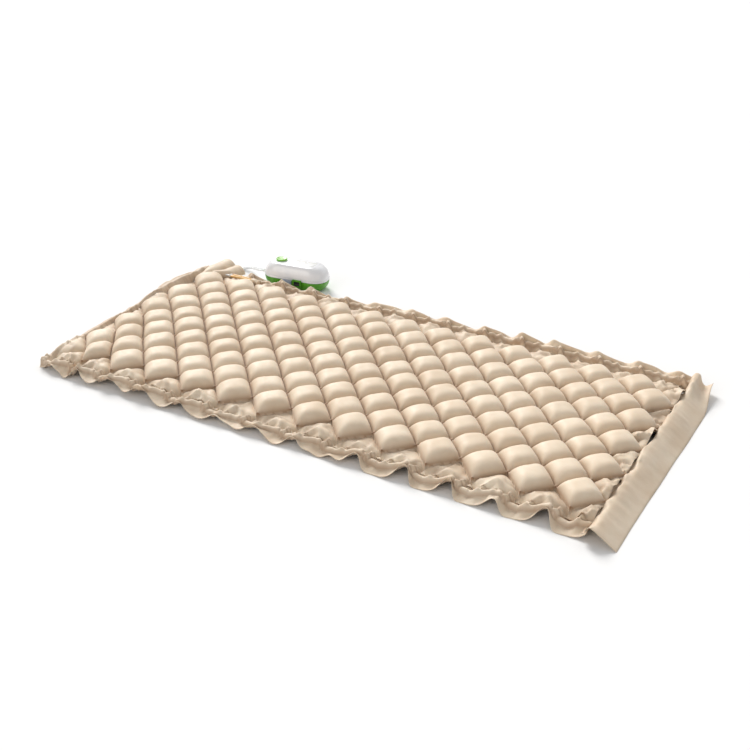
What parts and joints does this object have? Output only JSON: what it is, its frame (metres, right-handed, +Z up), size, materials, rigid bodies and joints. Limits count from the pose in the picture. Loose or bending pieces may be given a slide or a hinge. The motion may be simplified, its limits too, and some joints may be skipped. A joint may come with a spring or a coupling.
{
  "type": "pressure relief mattress",
  "caption": "Inflated bubble-cell overlay mattress of diamond air cells with welded edges, a loose end flap and a folded corner, and a small air pump joined to it by two thin hoses.",
  "frame": {"origin": "centre of the bubble field on the underside of the base sheet, on the floor", "axes": "+X along the pad towards the loose end flap (foot end), +Y across the pad towards the pump, +Z up"},
  "size_m": [1.863, 1.13, 0.095],
  "materials": {
    "cell_film": "satin",
    "sheet_film": "satin",
    "amber_latex": "satin",
    "clear_white_hose": "gloss",
    "port_plastic": "satin",
    "white_shell": "gloss",
    "green_shell": "satin",
    "panel_grey": "satin",
    "front_grey": "satin",
    "dial_green": "satin",
    "inner_plastic": "matte",
    "black_plastic": "satin",
    "black_rubber": "matte",
    "core_steel": "satin",
    "arm_metal": "satin"
  },
  "bodies": {
    "mattress": {"air_hose_inner": "clear_white_hose", "air_hose_outer": "clear_white_hose", "back_air_channel": "cell_film", "back_hem": "sheet_film", "base_sheet": "sheet_film", "cell_line_a_01": "cell_film", "cell_line_a_02": "cell_film", "cell_line_a_03": "cell_film", "cell_line_a_04": "cell_film", "cell_line_a_05": "cell_film", "cell_line_a_06": "cell_film", "cell_line_a_07": "cell_film", "cell_line_a_08": "cell_film", "cell_line_a_09": "cell_film", "cell_line_a_10": "cell_film", "cell_line_a_11": "cell_film", "cell_line_a_12": "cell_film", "cell_line_a_13": "cell_film", "cell_line_b_01": "cell_film", "cell_line_b_02": "cell_film", "cell_line_b_03": "cell_film", "cell_line_b_04": "cell_film", "cell_line_b_05": "cell_film", "cell_line_b_06": "cell_film", "cell_line_b_07": "cell_film", "cell_line_b_08": "cell_film", "cell_line_b_09": "cell_film", "cell_line_b_10": "cell_film", "cell_line_b_11": "cell_film", "cell_line_b_12": "cell_film", "cell_line_b_13": "cell_film", "distributor_body": "inner_plastic", "electromagnet": "core_steel", "front_air_channel": "cell_film", "front_hem": "sheet_film", "front_panel": "front_grey", "hose_joiner": "port_plastic", "inlet_tube_back": "amber_latex", "inlet_tube_front": "amber_latex", "left_end_strip": "sheet_film", "mains_inlet": "black_rubber", "outlet_nozzles": "port_plastic", "pressure_valve": "inner_plastic", "pump_foot_1": "black_rubber", "pump_foot_2": "black_rubber", "pump_foot_3": "black_rubber", "pump_foot_4": "black_rubber", "pump_lower_shell": "green_shell", "pump_upper_shell": "white_shell", "side_air_channel": "cell_film", "switch_bezel": "green_shell", "top_panel": "panel_grey", "twin_inlet_port": "port_plastic"},
    "end_flap": {"right_end_flap": "sheet_film"},
    "folded_corner": {"corner_fold": "sheet_film"},
    "dial": {"pressure_dial": "dial_green"},
    "rocker": {"power_rocker": "black_plastic"},
    "rotor": {"distributor_rotor": "inner_plastic"},
    "arm_front": {"swing_arm_front": "arm_metal"},
    "arm_back": {"swing_arm_back": "arm_metal"}
  },
  "joints": [
    {"name": "end_flap_lift", "type": "hinge", "parent": "mattress", "child": "end_flap", "pos_m": [0.881, 0, 0.018], "axis": [0, -1, 0], "range_deg": [0, 100]},
    {"name": "corner_unfold", "type": "hinge", "parent": "mattress", "child": "folded_corner", "pos_m": [-0.905, 0.4885, 0.0005], "axis": [0, -1, 0], "range_deg": [0, 85]},
    {"name": "pressure_dial_turn", "type": "hinge", "parent": "mattress", "child": "dial", "pos_m": [-0.6514, 0.55437, 0.093], "axis": [0, 0, 1], "range_deg": [-135, 135]},
    {"name": "power_rocker_tilt", "type": "hinge", "parent": "mattress", "child": "rocker", "pos_m": [-0.55844, 0.51089, 0.029], "axis": [0.9903, 0.1392, 0], "range_deg": [0, 16]},
    {"name": "distributor_turn", "type": "hinge", "parent": "mattress", "child": "rotor", "pos_m": [-0.65536, 0.55381, 0.03], "axis": [0, 0, 1], "continuous": true},
    {"name": "front_arm_swing", "type": "hinge", "parent": "mattress", "child": "arm_front", "pos_m": [-0.60066, 0.53827, 0.028], "axis": [0, 0, 1], "range_deg": [-2.5, 2.5], "stiffness_Nm_per_rad": 0.5},
    {"name": "back_arm_swing", "type": "hinge", "parent": "mattress", "child": "arm_back", "pos_m": [-0.60706, 0.58383, 0.028], "axis": [0, 0, 1], "range_deg": [-2.5, 2.5], "stiffness_Nm_per_rad": 0.5}
  ],
  "couplings": [
    {"joint": "back_arm_swing", "follows": "front_arm_swing", "ratio": -1}
  ]
}
